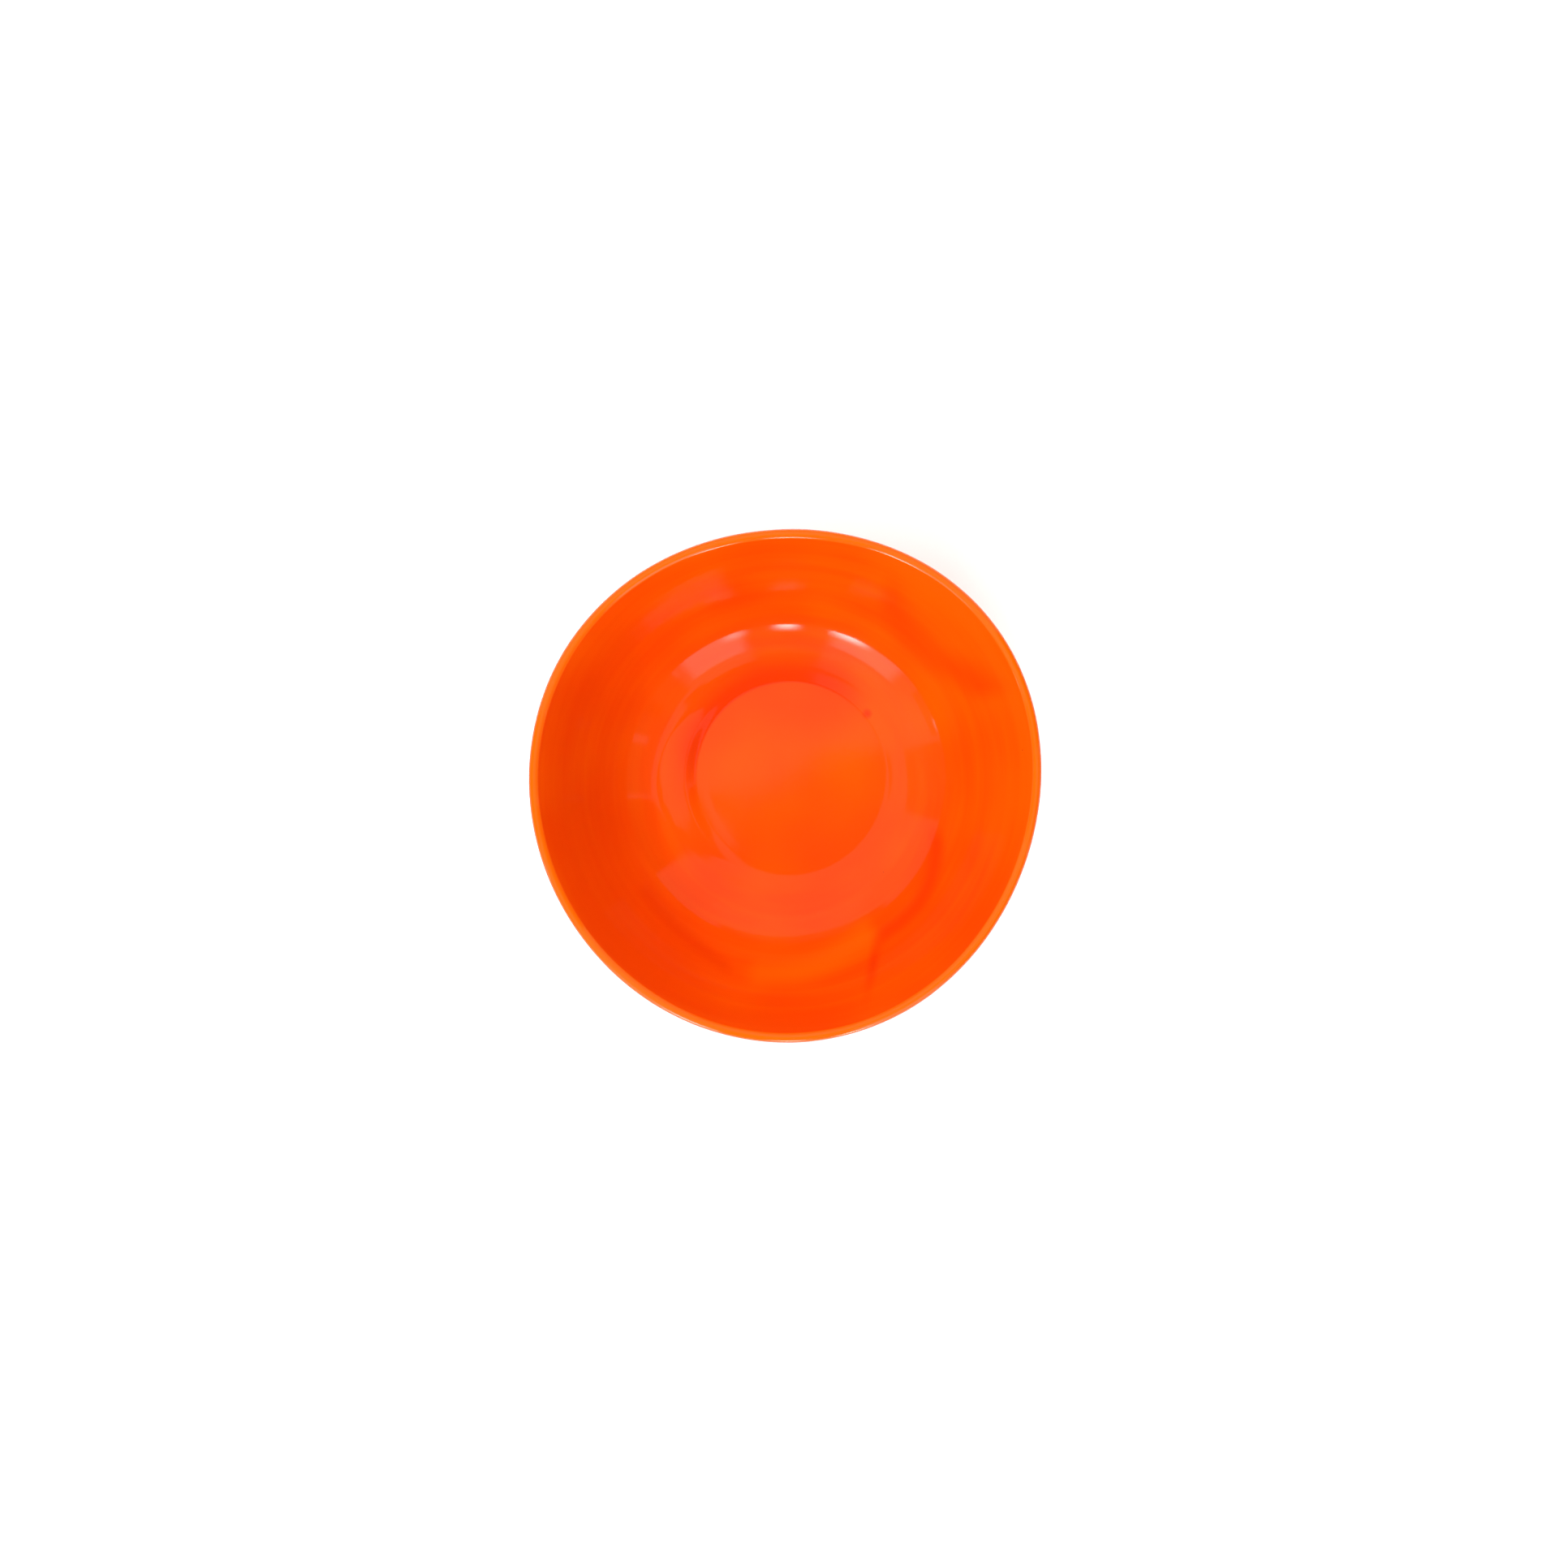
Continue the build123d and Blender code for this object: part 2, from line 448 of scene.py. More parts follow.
    def pool(self, graph: Graph, colour: Socket, place: Socket) -> Socket:
        """Deepen the glaze where it pooled beyond the rib's circle, on the side that leaned.

        Args:
            graph: The material.
            colour: The colour so far.
            place: The place on the bowl.

        Returns:
            The colour.
        """
        off = {"operation": "SUBTRACT"}, {0: place, 1: (*self.pool_middle, 0)}
        offset = graph.add("VectorMath", *off, "Vector")
        level = {"operation": "MULTIPLY"}, {0: offset, 1: (1, 1, 0)}
        offset = graph.add("VectorMath", *level, "Vector")
        away = graph.add("VectorMath", {"operation": "LENGTH"}, {0: offset}, "Value")
        drain = (math.cos(self.pool_bearing), math.sin(self.pool_bearing), 0)
        bearing = graph.add("VectorMath", {"operation": "NORMALIZE"}, {0: offset}, "Vector")
        side = graph.add("VectorMath", {"operation": "DOT_PRODUCT"}, {0: bearing, 1: drain}, "Value")
        height = graph.add("SeparateXYZ", {}, {0: place}, "Z")
        limits = (
            (away, *(self.pool_radius + beyond for beyond in self.pool_start)),
            (away, *(self.pool_radius + beyond for beyond in self.pool_end)),
            (side, *self.pool_side),
            (height, self.well_height - 2 * MM, self.well_height - 1 * MM),
        )
        return self.tint(graph, colour, limits, self.pool_share, self.pooled)

    def lip(self, graph: Graph, colour: Socket, height: Socket, cloud: Socket) -> Socket:
        """Thin the glaze over the lip, by an amount that wanders round the bowl.

        Args:
            graph: The material.
            colour: The colour so far.
            height: The height above the table.
            cloud: The slow variation.

        Returns:
            The colour.
        """
        edge = graph.add(
            "Math", {"operation": "MULTIPLY_ADD"}, {0: cloud, 1: self.lip_wander, 2: height}
        )
        start, full = (self.lip_height + above for above in self.lip_start)
        over = graph.add("MapRange", SMOOTH, {"Value": edge, "From Min": start, "From Max": full})
        return graph.add("Mix", BLEND, {0: over, 6: colour, 7: linear(self.thin)}, 2)

    def specks(self, graph: Graph, colour: Socket, place: Socket) -> Socket:
        """Scatter a few specks of iron that the clay bled into the glaze.

        Args:
            graph: The material.
            colour: The colour so far.
            place: The place on the bowl.

        Returns:
            The colour.
        """
        cells = graph.add(
            "TexVoronoi", {}, {"Vector": place, "Scale": 1 / self.speck_spacing}, "Distance"
        )
        reach = self.speck_size / self.speck_spacing
        near = graph.add(
            "MapRange", SMOOTH, {"Value": cells, "From Min": reach, "From Max": reach / 2}
        )
        return graph.add("Mix", BLEND, {0: near, 6: colour, 7: linear(self.iron)}, 2)


@dataclass(frozen=True)
class FiredClay:
    """Buff stoneware, fired and left bare: dry to the eye, gritty, and warm where it toasted."""

    name: str = "fired_clay"
    pale: str = "D9BE97"
    toasted: str = "B98A5A"
    grit: str = "7A5535"
    roughness: float = 0.86
    blush_size: float = 14.0 * MM
    blush_range: Pair = (0.35, 0.7)  # values of its pattern that look pale, and toasted
    grit_size: float = 0.9 * MM  # coarser than the sand in the body, so that it shows
    grit_edge: Pair = (0.22, 0.1)  # shares of that size where a grain ends, and is full
    grit_chance: Pair = (0.72, 0.8)  # chances at which a cell holds no grain, and a full one
    grit_relief: float = 0.6  # how far a grain stands up, beside the sand
    sand_size: float = 0.35 * MM
    sand_depth: float = 0.12 * MM
    sand_strength: float = 0.5

    def make(self) -> bpy.types.Material:
        """Build the material.

        Returns:
            The clay, read from Object coordinates.
        """
        graph = Graph(self.name)
        place = graph.add("TexCoord", {}, {}, "Object")
        blush = graph.add(
            "TexNoise", {}, {"Vector": place, "Scale": 1 / self.blush_size, "Detail": 4.0}
        )
        pale, toasted = self.blush_range
        toast = graph.add(
            "MapRange", SMOOTH, {"Value": blush, "From Min": pale, "From Max": toasted}
        )
        colour = graph.add(
            "Mix", BLEND, {0: toast, 6: linear(self.pale), 7: linear(self.toasted)}, 2
        )
        grains = self.grains(graph, place)
        colour = graph.add("Mix", BLEND, {0: grains, 6: colour, 7: linear(self.grit)}, 2)
        graph.feed(graph.shader.inputs["Base Color"], colour)
        graph.shader.inputs["Roughness"].default_value = self.roughness

        sand = graph.add(
            "TexNoise", {}, {"Vector": place, "Scale": 1 / self.sand_size, "Detail": 4.0}
        )
        relief = graph.add(
            "Math", {"operation": "MULTIPLY_ADD"}, {0: grains, 1: self.grit_relief, 2: sand}
        )
        rough = {"Height": relief, "Strength": self.sand_strength, "Distance": self.sand_depth}
        graph.feed(graph.shader.inputs["Normal"], graph.add("Bump", {}, rough))
        return graph.material

    def grains(self, graph: Graph, place: Socket) -> Socket:
        """Dark grains of grog, in about one cell of the pattern in four.

        Args:
            graph: The material.
            place: The place on the piece.

        Returns:
            1 on a grain and 0 elsewhere.
        """
        cells = graph.add(
            "TexVoronoi", {}, {"Vector": place, "Scale": 1 / self.grit_size}, "Distance"
        )
        chance = graph.add("SeparateColor", {}, {0: cells.node.outputs["Color"]}, "Red")
        parts = []
        for value, (nil, full) in ((cells, self.grit_edge), (chance, self.grit_chance)):
            edge = {"Value": value, "From Min": nil, "From Max": full}
            parts.append(graph.add("MapRange", SMOOTH, edge))
        return graph.add("Math", {"operation": "MULTIPLY"}, dict(enumerate(parts)))


@dataclass(frozen=True)
class PaleFloor:
    """Seamless white paper: matt, even, and a touch warm."""

    name: str = "white_paper"
    colour: str = "F4F2EF"
    roughness: float = 0.9

    def make(self) -> bpy.types.Material:
        """Build the material.

        Returns:
            The paper.
        """
        graph = Graph(self.name)
        graph.shader.inputs["Base Color"].default_value = linear(self.colour)
        graph.shader.inputs["Roughness"].default_value = self.roughness
        graph.shader.inputs["Specular IOR Level"].default_value = 0.0
        return graph.material


@dataclass(frozen=True)
class Glow:
    """A sheet that only glows, evenly or fading softly towards its edges."""

    name: str
    radiance: float
    soft: float = 0.0  # share of the half-width over which it fades

    def make(self) -> bpy.types.Material:
        """Build the material.

        Returns:
            The glow, for a square of side 1 in Object coordinates.
        """
        graph = Graph(self.name)
        nodes = graph.material.node_tree.nodes
        nodes.remove(graph.shader)
        glow = graph.add(
            "Emission", {}, {"Color": linear("FFFFFF"), "Strength": self.radiance}
        )
        if self.soft:
            rim = 0.5  # from the middle of the square to each side
            place = graph.add("TexCoord", {}, {}, "Object")
            off = graph.add("VectorMath", {"operation": "ABSOLUTE"}, {0: place}, "Vector")
            split = graph.add("SeparateXYZ", {}, {0: off}, "X")
            shares = []
            for side in ("X", "Y"):
                away = split.node.outputs[side]
                edge = {"Value": away, "From Min": rim, "From Max": rim - rim * self.soft}
                shares.append(graph.add("MapRange", SMOOTH, edge))
            share = graph.add("Math", {"operation": "MULTIPLY"}, dict(enumerate(shares)))
            clear = graph.add("BsdfTransparent", {}, {})
            glow = graph.add("MixShader", {}, {0: share, 1: clear, 2: glow})
        graph.feed(nodes["Material Output"].inputs["Surface"], glow)
        return graph.material


# ---------------------------------------------------------------------------------------------
# The bowl's form
# ---------------------------------------------------------------------------------------------


class Side(Enum):
    """A side of the wall, as the direction of its offset from the wall's middle."""

    OUTSIDE = 1
    INSIDE = -1


@dataclass(frozen=True)
class BowlForm:
    """The bowl's sizes, and the curve that its wall follows from the well to the lip."""

    lip_radius: float = 80.0 * MM
    lip_thickness: float = 2.4 * MM  # of the clay, without its glaze
    lip_slope: float = math.radians(58)
    well_radius: float = 35.0 * MM
    well_thickness: float = 5.5 * MM
    well_pull: float = 0.29  # of the curve's handle at the well, as a share of its span
    lip_pull: float = 0.27  # of the handle at the lip
    lobes: tuple[tuple[int, float, float], ...] = (  # how many, how high and at what bearing
        (2, 0.50 * MM, math.radians(50)),
        (3, 0.93 * MM, math.radians(36)),
        (4, 0.19 * MM, math.radians(38)),
    )
    height: float = field(default_factory=lambda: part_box("inner_glaze")[1].z)
    base_height: float = field(default_factory=lambda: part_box("clay_body")[0].z)
    patch_height: float = field(default_factory=lambda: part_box("base_glaze")[0].z)
    patch_radius: float = field(default_factory=lambda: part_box("base_glaze")[1].x)
    foot_radius: float = field(default_factory=lambda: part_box("foot_ring")[1].x)

    @property
    def glaze(self) -> float:
        """Thickness of the glaze."""
        return self.base_height - self.patch_height

    @property
    def well_height(self) -> float:
        """Height of the glazed surface of the well."""
        return self.base_height + self.well_thickness + self.glaze

    @property
    def lip_centre(self) -> Point:
        """Radius and height of the middle of the lip's round."""
        inset = self.glaze + self.lip_thickness / 2
        return self.lip_radius - inset, self.height - inset

    def middle(self, climb: float) -> tuple[float, float, float]:
        """Follow the middle of the wall, a Bezier curve with a handle at each end.

        Args:
            climb: 0 at the edge of the well, 1 at the lip.

        Returns:
            Radius, height and slope there.
        """
        start = (self.well_radius, self.base_height + self.well_thickness / 2)
        end = self.lip_centre
        well_top = self.base_height + self.well_thickness
        span = end[0] - start[0] + end[1] - well_top
        flat = (start[0] + self.well_pull * span, start[1])
        reach = self.lip_pull * span
        steep = (end[0] - reach * math.cos(self.lip_slope), end[1] - reach * math.sin(self.lip_slope))
        corners = np.array((start, flat, steep, end))
        rest = 1 - climb
        shares = (rest**3, 3 * rest**2 * climb, 3 * rest * climb**2, climb**3)
        radius, height = shares @ corners
        run, rise = (rest**2, 2 * rest * climb, climb**2) @ np.diff(corners, axis=0)
        return float(radius), float(height), math.atan2(rise, run)

    def wall(self, climb: float, side: Side, proud: float = 0.0) -> Point:
        """Find a point on the wall's surface.

        Args:
            climb: 0 at the edge of the well, 1 at the lip.
            side: Which side of the wall.
            proud: How far the surface stands off the clay.

        Returns:
            Radius and height.
        """
        radius, height, slope = self.middle(climb)
        clay = self.well_thickness + (self.lip_thickness - self.well_thickness) * climb
        half = side.value * (clay / 2 + proud)
        return radius + half * math.sin(slope), height - half * math.cos(slope)


@dataclass(frozen=True)
class PottersHand:
    """What the hand leaves on a turned piece, as small moves of its points.

    The lobes need a formula, because no one modifier gives two, three and four of them at once.
    """

    form: BowlForm
    ring_pitch: float = 7.5 * MM  # from one throwing ring to the next, along radius plus height
    ring_depth: float = 0.014 * MM
    wander: float = 0.22 * MM  # the slow unevenness of the whole surface
    wander_size: float = 30.0 * MM
    ring_swell: Pair = (0.55, 0.45)  # their share all round, and what one side has and one lacks
    ring_bearing: float = math.radians(235)  # where they are deepest
    ring_fade: Pair = (8.0 * MM, 6.0 * MM)  # next to the well, and next to the lip
    wiped_wobble: float = 0.22 * MM  # of the wiped edge of the glaze beside the foot
    # The waves of that edge: how many, how high, and where they start.
    wiped_waves: tuple[tuple[int, float, float], ...] = ((3, 1.0, 0.7), (7, 0.6, 2.1))
    wiped_height: float = 1.0 * MM  # how far up the wobble reaches
    wiped_reach: float = 2.5 * MM  # and how far sideways
    rib_radius: float = 31.2 * MM  # of the circle that the rib pressed round the well
    rib_middle: Point = (1.5 * MM, 2.4 * MM)  # of that circle, off the bowl's axis
    rib_depth: float = 0.28 * MM
    rib_width: float = 4.0 * MM
    rise_height: float = 0.6 * MM  # of the clay heaped up beyond the circle
    rise_end: float = 37.5 * MM
    rise_fade: float = 66.0 * MM
    ledge_height: float = 1.5 * MM  # of the level ledge, on the side where the rib bit deepest
    ledge_heel: float = 4.2 * MM
    ledge_blend: float = 0.12 * MM
    ledge_bearing: float = math.radians(178)
    ledge_power: int = 8  # the higher, the shorter the ledge

    def shape(self, piece: bpy.types.Object) -> None:
        """Give a turned piece its lobes, its throwing rings and its unevenness.

        Args:
            piece: The piece, turned true.
        """
        mesh = piece.data
        places = np.empty(len(mesh.vertices) * 3)
        mesh.vertices.foreach_get("co", places)
        places = places.reshape(-1, 3)
        normals = np.empty(len(mesh.vertices) * 3)
        mesh.vertices.foreach_get("normal", normals)
        normals = normals.reshape(-1, 3)

        radius = np.hypot(places[:, 0], places[:, 1])
        bearing = np.arctan2(places[:, 1], places[:, 0])
        outward = np.stack((np.cos(bearing), np.sin(bearing), np.zeros_like(bearing)), axis=1)
        push = self.lobes(bearing, places[:, 2]) + self.wobble(radius, bearing, places[:, 2])
        rings = self.rings(radius, bearing, places[:, 2])
        places = places + outward * push[:, None] + normals * rings[:, None]
        places[:, 2] += self.rib(radius, bearing, places[:, 2]) * (normals[:, 2] > 0)
        mesh.vertices.foreach_set("co", places.ravel())
        mesh.update()
        self.roll(piece)

    def lobes(self, bearing: np.ndarray, height: np.ndarray) -> np.ndarray:
        """How far the lobes push each point outwards, growing from the well to the lip.

        Args:
            bearing: The bearing of each point.
            height: The height of each point.

        Returns:
            How far each point moves outwards.
        """
        climbs = np.linspace(0, 1, 60)
        heights = [self.form.middle(climb)[1] for climb in climbs]
        climb = np.interp(height, heights, climbs)
        waves = sum(high * np.cos(n * (bearing - at)) for n, high, at in self.form.lobes)
        return waves * climb**2

    def wobble(self, radius: np.ndarray, bearing: np.ndarray, height: np.ndarray) -> np.ndarray:
        """How far the wiped edge of the glaze wanders from its circle.

        Args:
            radius: The distance of each point from the bowl's axis.
            bearing: The bearing of each point.
            height: The height of each point.

        Returns:
            How far each point moves outwards.
        """
        near_base = np.clip(1 - (height - self.form.base_height) / self.wiped_height, 0, 1)
        near_foot = np.clip(1 - np.abs(radius - self.form.foot_radius) / self.wiped_reach, 0, 1)
        waves = sum(high * np.sin(n * bearing + start) for n, high, start in self.wiped_waves)
        return self.wiped_wobble * waves * near_base * near_foot

    def rings(self, radius: np.ndarray, bearing: np.ndarray, height: np.ndarray) -> np.ndarray:
        """The throwing rings: one shallow spiral, which fades where the rib smoothed the wall.

        Args:
            radius: The distance of each point from the bowl's axis.
            bearing: The bearing of each point.
            height: The height of each point.

        Returns:
            How far each point moves off the surface.
        """
        turns = (radius + height) / self.ring_pitch
        even, coming = self.ring_swell
        swell = even + coming * np.cos(bearing - self.ring_bearing)
        well_fade, lip_fade = self.ring_fade
        calm = np.clip((self.form.height - height) / lip_fade, 0, 1)
        calm = calm * np.clip((radius - self.form.well_radius) / well_fade, 0, 1)
        return self.ring_depth * swell * calm * np.sin(2 * math.pi * turns + bearing)

    def rib(self, radius: np.ndarray, bearing: np.ndarray, height: np.ndarray) -> np.ndarray:
        """How far the rib moved the clay round the well.

        Inside its circle it left a dip. Beyond it the clay rises, and on one side it stands up to
        a level ledge that runs out into the wall.

        Args:
            radius: The distance of each point from the bowl's axis.
            bearing: The bearing of each point.
            height: The height of each point.

        Returns:
            How far each point moves up.
        """
        across, up = self.rib_middle
        edge = self.rib_radius + across * np.cos(bearing) + up * np.sin(bearing)
        bite = (0.5 + 0.5 * np.cos(bearing - self.ledge_bearing)) ** self.ledge_power
        heel = edge + self.ledge_heel
        dip = smooth(radius, edge - self.rib_width, edge) * smooth(radius, heel, edge)
        rise = smooth(radius, edge, self.rise_end) * smooth(radius, self.rise_fade, self.rise_end)
        raised = self.rise_height * rise - self.rib_depth * bite * dip
        ledge = self.ledge_height * bite * smooth(radius, edge, heel)
        short = ledge - (height - self.form.well_height + raised)
        return raised + (short + np.hypot(short, self.ledge_blend) - self.ledge_blend) / 2

    def roll(self, piece: bpy.types.Object) -> None:
        """Add the slow unevenness, with a Displace modifier on a soft cloud.

        Args:
            piece: The piece, the only one selected.
        """
        cloud = bpy.data.textures.new("slow_unevenness", "CLOUDS")
        cloud.noise_scale = self.wander_size
        cloud.noise_depth = 1
        bend = piece.modifiers.new("unevenness", "DISPLACE")
        bend.texture = cloud
        bend.texture_coords = "LOCAL"
        bend.strength = self.wander
        bend.mid_level = 0.5
        bpy.ops.object.modifier_apply(modifier=bend.name)
        bpy.data.textures.remove(cloud)


@dataclass(frozen=True)
class Wheel:
    """The potter's wheel: it turns a profile about the bowl's axis."""

    steps: int = 240
    drawn_merge: float = 0.001 * MM  # points of a profile closer than this are one
    spun_merge: float = 0.002 * MM  # and so are points of the spun surface

    def turn(self, name: str, profile: list[Point], closed: bool = False) -> bpy.types.Object:
        """Draw a profile point by point, and spin it.

        Args:
            name: The new piece's name.
            profile: Radius and height of each point, in order.
            closed: Whether the last point joins the first.

        Returns:
            The piece, merged, facing outwards and left selected, in object mode.
        """
        deselect_all()
        first, *others = profile
        bpy.ops.mesh.primitive_plane_add(size=1 * MM)
        piece = bpy.context.object
        piece.name = piece.data.name = name
        bpy.ops.object.mode_set(mode="EDIT")
        bpy.ops.mesh.merge(type="CENTER")
        bpy.ops.transform.translate(value=(first[0], 0, first[1]))
        last = first
        for point in others + ([first] if closed else []):
            step = (point[0] - last[0], 0, point[1] - last[1])
            bpy.ops.mesh.extrude_region_move(TRANSFORM_OT_translate={"value": step})
            last = point
        bpy.ops.mesh.select_all(action="SELECT")
        bpy.ops.mesh.remove_doubles(threshold=self.drawn_merge)
        bpy.ops.mesh.spin(steps=self.steps, angle=2 * math.pi, center=(0, 0, 0), axis=(0, 0, 1))
        bpy.ops.mesh.select_all(action="SELECT")
        bpy.ops.mesh.remove_doubles(threshold=self.spun_merge)
        bpy.ops.mesh.normals_make_consistent(inside=False)
        bpy.ops.object.mode_set(mode="OBJECT")
        return piece


def arc(middle: Point, radius: float, start: float, end: float, steps: int) -> list[Point]:
    """Points along an arc.

    Args:
        middle: Radius and height of the arc's centre.
        radius: The arc's own radius.
        start: Angle of the first point, in degrees from the outward level.
        end: Angle of the last point, in degrees.
        steps: How many steps it takes.

    Returns:
        The points, both ends included.
    """
    turns = np.radians(np.linspace(start, end, steps + 1))
    return [(middle[0] + radius * math.cos(t), middle[1] + radius * math.sin(t)) for t in turns]


def smooth(value: np.ndarray, start: float | np.ndarray, end: float | np.ndarray) -> np.ndarray:
    """Rise smoothly from 0 where the value is at start to 1 where it is at end."""
    share = np.clip((value - start) / (end - start), 0, 1)
    return share * share * (3 - 2 * share)


# ---------------------------------------------------------------------------------------------
# The pieces
# ---------------------------------------------------------------------------------------------


@dataclass
class GlazeCoat:
    """The glaze all over the bowl: one skin from the foot's edge, over the lip, into the well."""

    form: BowlForm
    hand: PottersHand
    wheel: Wheel
    finish: bpy.types.Material
    wiped_gap: float = 0.6 * MM  # bare clay between the foot ring and the glaze
    skin: float = 0.42 * MM  # thickness of the modelled coat
    wall_steps: int = 46
    crowding: float = 1.5  # of the wall's rows of faces towards the lip
    lip_steps: int = 16
    bead_steps: int = 6
    fine_width: float = 10.0 * MM  # of the outer part of the well, where the rows are finer
    fine_points: int = 31
    well_points: int = 10

    def build(self) -> bpy.types.Object:
        """Model and dress the coat.

        Returns:
            The finished piece.
        """
        piece = self.wheel.turn("glaze_coat", self.profile())
        self.hand.shape(piece)
        wall = piece.modifiers.new("thickness", "SOLIDIFY")
        wall.thickness = self.skin
        wall.offset = -1
        bpy.ops.object.modifier_apply(modifier=wall.name)
        bpy.ops.object.shade_smooth_by_angle(angle=CREASE)
        piece.data.materials.append(self.finish)
        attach(piece, "root")
        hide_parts("inner_glaze", "outer_glaze")
        return piece

    def profile(self) -> list[Point]:
        """Draw the coat's outer face.

        Returns:
            Its points, from the wiped edge round to the middle of the well.
        """
        form = self.form
        climbs = 1 - (1 - np.linspace(0, 1, self.wall_steps + 1)) ** self.crowding
        outside = [form.wall(c, Side.OUTSIDE, form.glaze) for c in climbs]
        inside = [form.wall(c, Side.INSIDE, form.glaze) for c in reversed(climbs)]
        slope = math.degrees(form.lip_slope)
        reach = form.lip_thickness / 2 + form.glaze
        lip = arc(form.lip_centre, reach, slope - 90, slope + 90, self.lip_steps)
        return self.bead() + outside[1:-1] + lip + inside[1:] + self.well()

    def bead(self) -> list[Point]:
        """Draw the rolled edge where the glaze was wiped from the clay beside the foot.

        Returns:
            Its points, from the clay outwards.
        """
        edge = self.form.foot_radius + self.wiped_gap
        middle = (edge + self.form.glaze, self.form.base_height)
        return arc(middle, self.form.glaze, 180, 270, self.bead_steps)

    def well(self) -> list[Point]:
        """Draw the floor of the well.

        Returns:
            Its points, from its edge as far as its middle.
        """
        rim = self.form.well_radius
        edge = np.linspace(rim, rim - self.fine_width, self.fine_points)[1:]
        floor = np.linspace(rim - self.fine_width, 0, self.well_points)[1:]
        return [(float(radius), self.form.well_height) for radius in (*edge, *floor)]


@dataclass
class BasePatch:
    """The patch of glaze in the recess of the foot, level, with a rolled edge."""

    form: BowlForm
    hand: PottersHand
    wheel: Wheel
    finish: bpy.types.Material
    level_share: float = 0.97  # of its radius, as far as the rows of its two faces go
    under_points: int = 16
    edge_steps: int = 6
    top_points: int = 8

    def build(self) -> bpy.types.Object:
        """Model and dress the patch.

        Returns:
            The finished piece.
        """
        piece = self.wheel.turn("base_glaze_patch", self.profile())
        self.hand.roll(piece)
        bpy.ops.object.shade_smooth_by_angle(angle=CREASE)
        piece.data.materials.append(self.finish)
        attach(piece, "root")
        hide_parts("base_glaze")
        return piece

    def profile(self) -> list[Point]:
        """Draw the patch.

        Returns:
            Its points, from the middle of its underside, round its edge, to the middle of its top.
        """
        form = self.form
        edge = form.patch_radius
        outward = np.linspace(0, self.level_share, self.under_points)
        inward = np.linspace(self.level_share, 0, self.top_points)
        middle = (edge - form.glaze, form.base_height)
        rolled = arc(middle, form.glaze, -90, 0, self.edge_steps)
        under = [(edge * share, form.patch_height) for share in outward]
        return under + rolled + [(edge * share, form.base_height) for share in inward]


@dataclass
class FootRing:
    """The turned foot: bare clay with leaning sides, worn edges and the lines of the turning tool."""

    form: BowlForm
    wheel: Wheel
    finish: bpy.types.Material
    width: float = 5.5 * MM
    draft: float = 0.9 * MM  # how far each side leans in towards the foot
    lean: int = 8  # and at about what angle, in degrees
    worn: float = 0.8 * MM  # radius of its worn edges
    worn_steps: int = 6
    line_pitch: float = 0.9 * MM
    line_depth: float = 0.035 * MM
    side_points: int = 28
    side_start: float = 0.04  # share of the way down at which a side's points begin

    def build(self) -> bpy.types.Object:
        """Model and dress the ring.

        Returns:
            The finished piece.
        """
        piece = self.wheel.turn("turned_foot_ring", self.profile(), closed=True)
        bpy.ops.object.shade_smooth_by_angle(angle=CREASE)
        piece.data.materials.append(self.finish)
        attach(piece, "root")
        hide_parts("foot_ring")
        return piece

    def profile(self) -> list[Point]:
        """Draw the ring's section.

        Returns:
            Its points, down the outside, under the worn foot and up the inside.
        """
        top = self.form.base_height
        outer, inner = self.form.foot_radius, self.form.foot_radius - self.width
        outside = self.side(outer, outer - self.draft, 1)
        inside = self.side(inner, inner + self.draft, -1)
        steps = self.worn_steps
        middle = (outer - self.draft - self.worn, self.worn)
        foot_out = arc(middle, self.worn, -self.lean, -90, steps)
        middle = (inner + self.draft + self.worn, self.worn)
        foot_in = arc(middle, self.worn, -90, self.lean - 180, steps)
        return [(outer, top)] + outside + foot_out + foot_in + inside[::-1] + [(inner, top)]

    def side(self, high: float, low: float, outward: int) -> list[Point]:
        """Draw one leaning side, with the tool's lines on it.

        Args:
            high: Its radius at the top.
            low: Its radius at the foot.
            outward: 1 where outside is away from the axis, and -1 where it is towards it.

        Returns:
            Its points, from top to bottom.
        """
        points = []
        for share in np.linspace(self.side_start, 1, self.side_points):
            height = self.form.base_height + (self.worn - self.form.base_height) * share
            line = self.line_depth * math.cos(2 * math.pi * height / self.line_pitch)
            points.append((high + (low - high) * share + outward * line, height))
        return points


# ---------------------------------------------------------------------------------------------
# The studio
# ---------------------------------------------------------------------------------------------


@dataclass(frozen=True)
class Sheet:
    """A sheet that stands upright round the bowl and faces it, seen only by the gloss.

    The glaze mirrors the room, so the room is broken up as a real one is: windows, the gap between
    them, a dark doorway and the person who looks down into the bowl.
    """

    name: str
    bearings: Pair  # its two sides, in degrees from +X
    elevations: Pair  # its foot and its top, in degrees above the lip
    distance: float  # from the bowl's axis
    radiance: float = 0.0
    soft: float = 0.0  # share of the half-width over which it fades

    def build(self, target: Vector) -> bpy.types.Object:
        """Stand the sheet in its place.

        Args:
            target: The point that the bearings and elevations are taken from.

        Returns:
            The sheet.
        """
        turn = math.radians(sum(self.bearings) / 2)
        half = math.radians(self.bearings[1] - self.bearings[0]) / 2
        width = 2 * self.distance * math.tan(half)
        low, high = (self.distance * math.tan(math.radians(e)) for e in self.elevations)
        away = Vector((math.cos(turn), math.sin(turn), 0)) * self.distance
        middle = target + away + Vector((0, 0, (low + high) / 2))
        upright = math.radians(90)
        return hang(self, middle, (width, high - low), (upright, 0, turn - upright))


